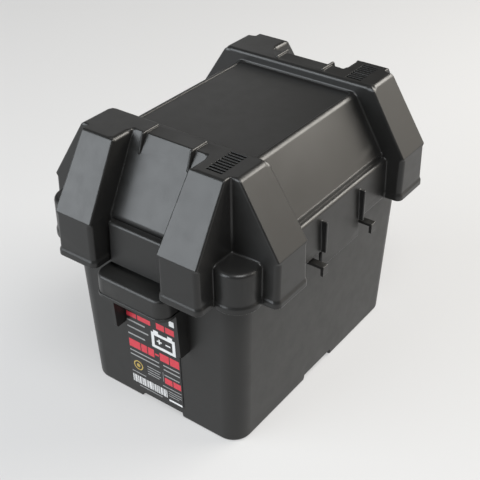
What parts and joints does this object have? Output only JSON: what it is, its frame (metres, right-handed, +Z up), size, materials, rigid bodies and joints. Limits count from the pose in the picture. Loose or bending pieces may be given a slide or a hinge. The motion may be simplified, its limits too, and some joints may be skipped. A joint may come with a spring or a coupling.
{
  "type": "deep cycle battery in a snap-top box",
  "caption": "Closed black plastic battery box with a ribbed lift-off lid, end handles and snap latches, holding a small sealed deep-cycle battery.",
  "frame": {"origin": "centre of the box's footprint on the face it rests on, lid closed", "axes": "+X along the length, label end at -X; +Y across the width; +Z up, the way the lid lifts off"},
  "size_m": [0.27, 0.196, 0.2186],
  "materials": {
    "lid_plastic": "moulded satin-matte black polypropylene",
    "tub_plastic": "moulded satin-matte black polypropylene",
    "latch_plastic": "moulded satin-matte black polypropylene",
    "label_film": "printed black film, satin",
    "case_plastic": "dark grey battery case plastic",
    "cover_plastic": "dark battery cover plastic",
    "cap_rubber": "black moulded rubber",
    "seal_rubber": "terminal seal rubber",
    "terminal_metal": "tinned brass",
    "bolt_steel": "zinc-plated steel",
    "plate_grey": "cast lead grid and paste, spongy grey; the list has no lead",
    "plate_brown": "cast lead grid and dioxide paste, dark brown; the list has no lead",
    "separator_white": "absorbent glass-fibre mat",
    "link_metal": "cast lead; the list has no lead"
  },
  "bodies": {
    "base": {"tub": "tub_plastic", "label": "label_film", "battery_case": "case_plastic", "battery_cover": "cover_plastic", "vent_strip": "cover_plastic", "valve_caps": "cap_rubber", "terminal_positive": "terminal_metal", "terminal_negative": "terminal_metal", "terminal_bolts": "bolt_steel", "terminal_nuts": "bolt_steel", "terminal_washers": "bolt_steel", "terminal_seals": "seal_rubber", "intercell_links": "link_metal", "cell1_positive_plates": "plate_brown", "cell1_negative_plates": "plate_grey", "cell1_separators": "separator_white", "cell2_positive_plates": "plate_brown", "cell2_negative_plates": "plate_grey", "cell2_separators": "separator_white", "cell3_positive_plates": "plate_brown", "cell3_negative_plates": "plate_grey", "cell3_separators": "separator_white", "cell4_positive_plates": "plate_brown", "cell4_negative_plates": "plate_grey", "cell4_separators": "separator_white", "cell5_positive_plates": "plate_brown", "cell5_negative_plates": "plate_grey", "cell5_separators": "separator_white", "cell6_positive_plates": "plate_brown", "cell6_negative_plates": "plate_grey", "cell6_separators": "separator_white"},
    "lid": {"lid_shell": "lid_plastic"},
    "latch_left": {"latch_tongue_left": "latch_plastic"},
    "latch_right": {"latch_tongue_right": "latch_plastic"}
  },
  "joints": [
    {"name": "lid_lift", "type": "slide", "parent": "base", "child": "lid", "axis": [0, 0, 1], "range_m": [0, 0.25]},
    {"name": "latch_left_flex", "type": "hinge", "parent": "lid", "child": "latch_left", "pos_m": [-0.11565, 0, 0.16375], "axis": [0, 1, 0], "range_deg": [0, 10], "stiffness_Nm_per_rad": 0.6},
    {"name": "latch_right_flex", "type": "hinge", "parent": "lid", "child": "latch_right", "pos_m": [0.11565, 0, 0.16375], "axis": [0, -1, 0], "range_deg": [0, 10], "stiffness_Nm_per_rad": 0.6}
  ]
}
